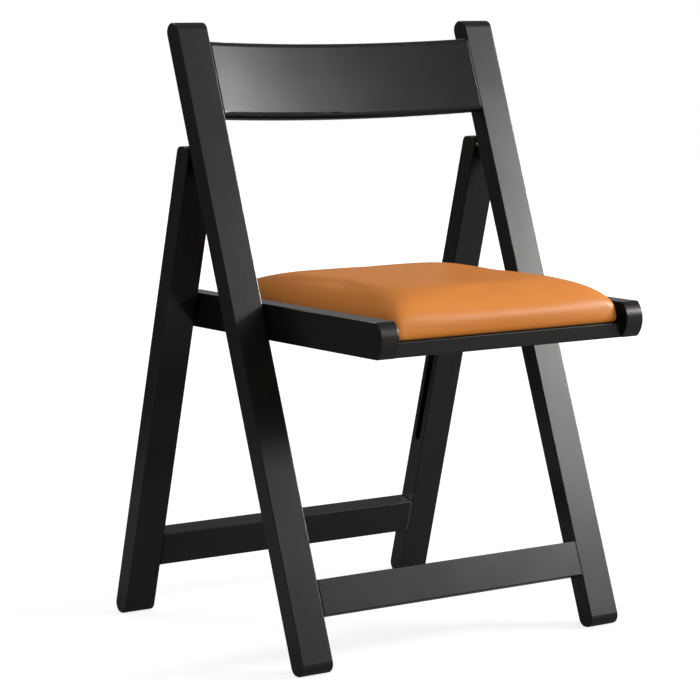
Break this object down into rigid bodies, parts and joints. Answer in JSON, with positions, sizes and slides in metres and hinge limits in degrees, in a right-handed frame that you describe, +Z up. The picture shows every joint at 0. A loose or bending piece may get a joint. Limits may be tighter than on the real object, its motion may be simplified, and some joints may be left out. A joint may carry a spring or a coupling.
{
  "type": "folding chair",
  "caption": "Folding dining chair with leaning bar frames, a curved back slat and a leather seat pad that swings up between the posts as the rear legs close.",
  "frame": {"origin": "on the floor, under the middle of the open chair's box", "axes": "+X to the right as seen from the front, +Y from the seat's nose to the back, +Z up"},
  "size_m": [0.49, 0.532, 0.77],
  "materials": {
    "black_lacquered_wood": "satin black lacquer",
    "tan_leather": "smooth, soft sheen",
    "bare_beech": "bare, turned",
    "plywood": "bare, sanded",
    "seat_foam": "open cell",
    "brassed_steel": "satin",
    "blackened_steel": "black oxide, oiled",
    "zinc_steel": "zinc plated",
    "black_nylon": "moulded"
  },
  "bodies": {
    "front_frame": {"front_post_left": "black_lacquered_wood", "front_post_right": "black_lacquered_wood", "back_slat": "black_lacquered_wood", "front_stretcher": "black_lacquered_wood", "back_slat_dowels": "bare_beech", "front_stretcher_dowels": "bare_beech", "pivot_bolt_left": "zinc_steel", "pivot_bolt_right": "zinc_steel", "pivot_inserts": "brassed_steel", "pivot_washers": "black_nylon", "hinge_post_leaf_left": "blackened_steel", "hinge_post_leaf_right": "blackened_steel", "hinge_pin_left": "brassed_steel", "hinge_pin_right": "brassed_steel", "hinge_post_screws": "blackened_steel"},
    "rear_frame": {"rear_leg_left": "black_lacquered_wood", "rear_leg_right": "black_lacquered_wood", "rear_stretcher": "black_lacquered_wood", "rear_stretcher_dowels": "bare_beech", "hinge_leg_leaf_left": "blackened_steel", "hinge_leg_leaf_right": "blackened_steel", "hinge_leg_screws": "blackened_steel"},
    "seat": {"seat_rail_left": "black_lacquered_wood", "seat_rail_right": "black_lacquered_wood", "seat_front_rail": "black_lacquered_wood", "seat_rear_rail": "black_lacquered_wood", "seat_frame_dowels": "bare_beech", "pivot_bush_left": "black_nylon", "pivot_bush_right": "black_nylon", "seat_board": "plywood", "seat_foam": "seat_foam", "seat_cover": "tan_leather", "seat_board_screws": "zinc_steel"},
    "guide": {"guide_pin_left": "zinc_steel", "guide_pin_right": "zinc_steel", "guide_glide_left": "black_nylon", "guide_glide_right": "black_nylon"}
  },
  "joints": [
    {"name": "seat_fold", "type": "hinge", "parent": "front_frame", "child": "seat", "pos_m": [0, -0.01532, 0.4085], "axis": [-1, 0, 0], "range_deg": [0, 98.3]},
    {"name": "rear_fold", "type": "hinge", "parent": "front_frame", "child": "rear_frame", "pos_m": [0, 0.07464, 0.608], "axis": [-1, 0, 0], "range_deg": [0, 35.16]},
    {"name": "guide_slide", "type": "slide", "parent": "rear_frame", "child": "guide", "axis": [0, 0.2614, -0.9652], "range_m": [0, 0.16468]}
  ],
  "couplings": [
    {"joint": "rear_fold", "follows": "seat_fold", "ratio": 0.35764},
    {"joint": "guide_slide", "follows": "seat_fold", "m_per_rad": 0.095985}
  ]
}
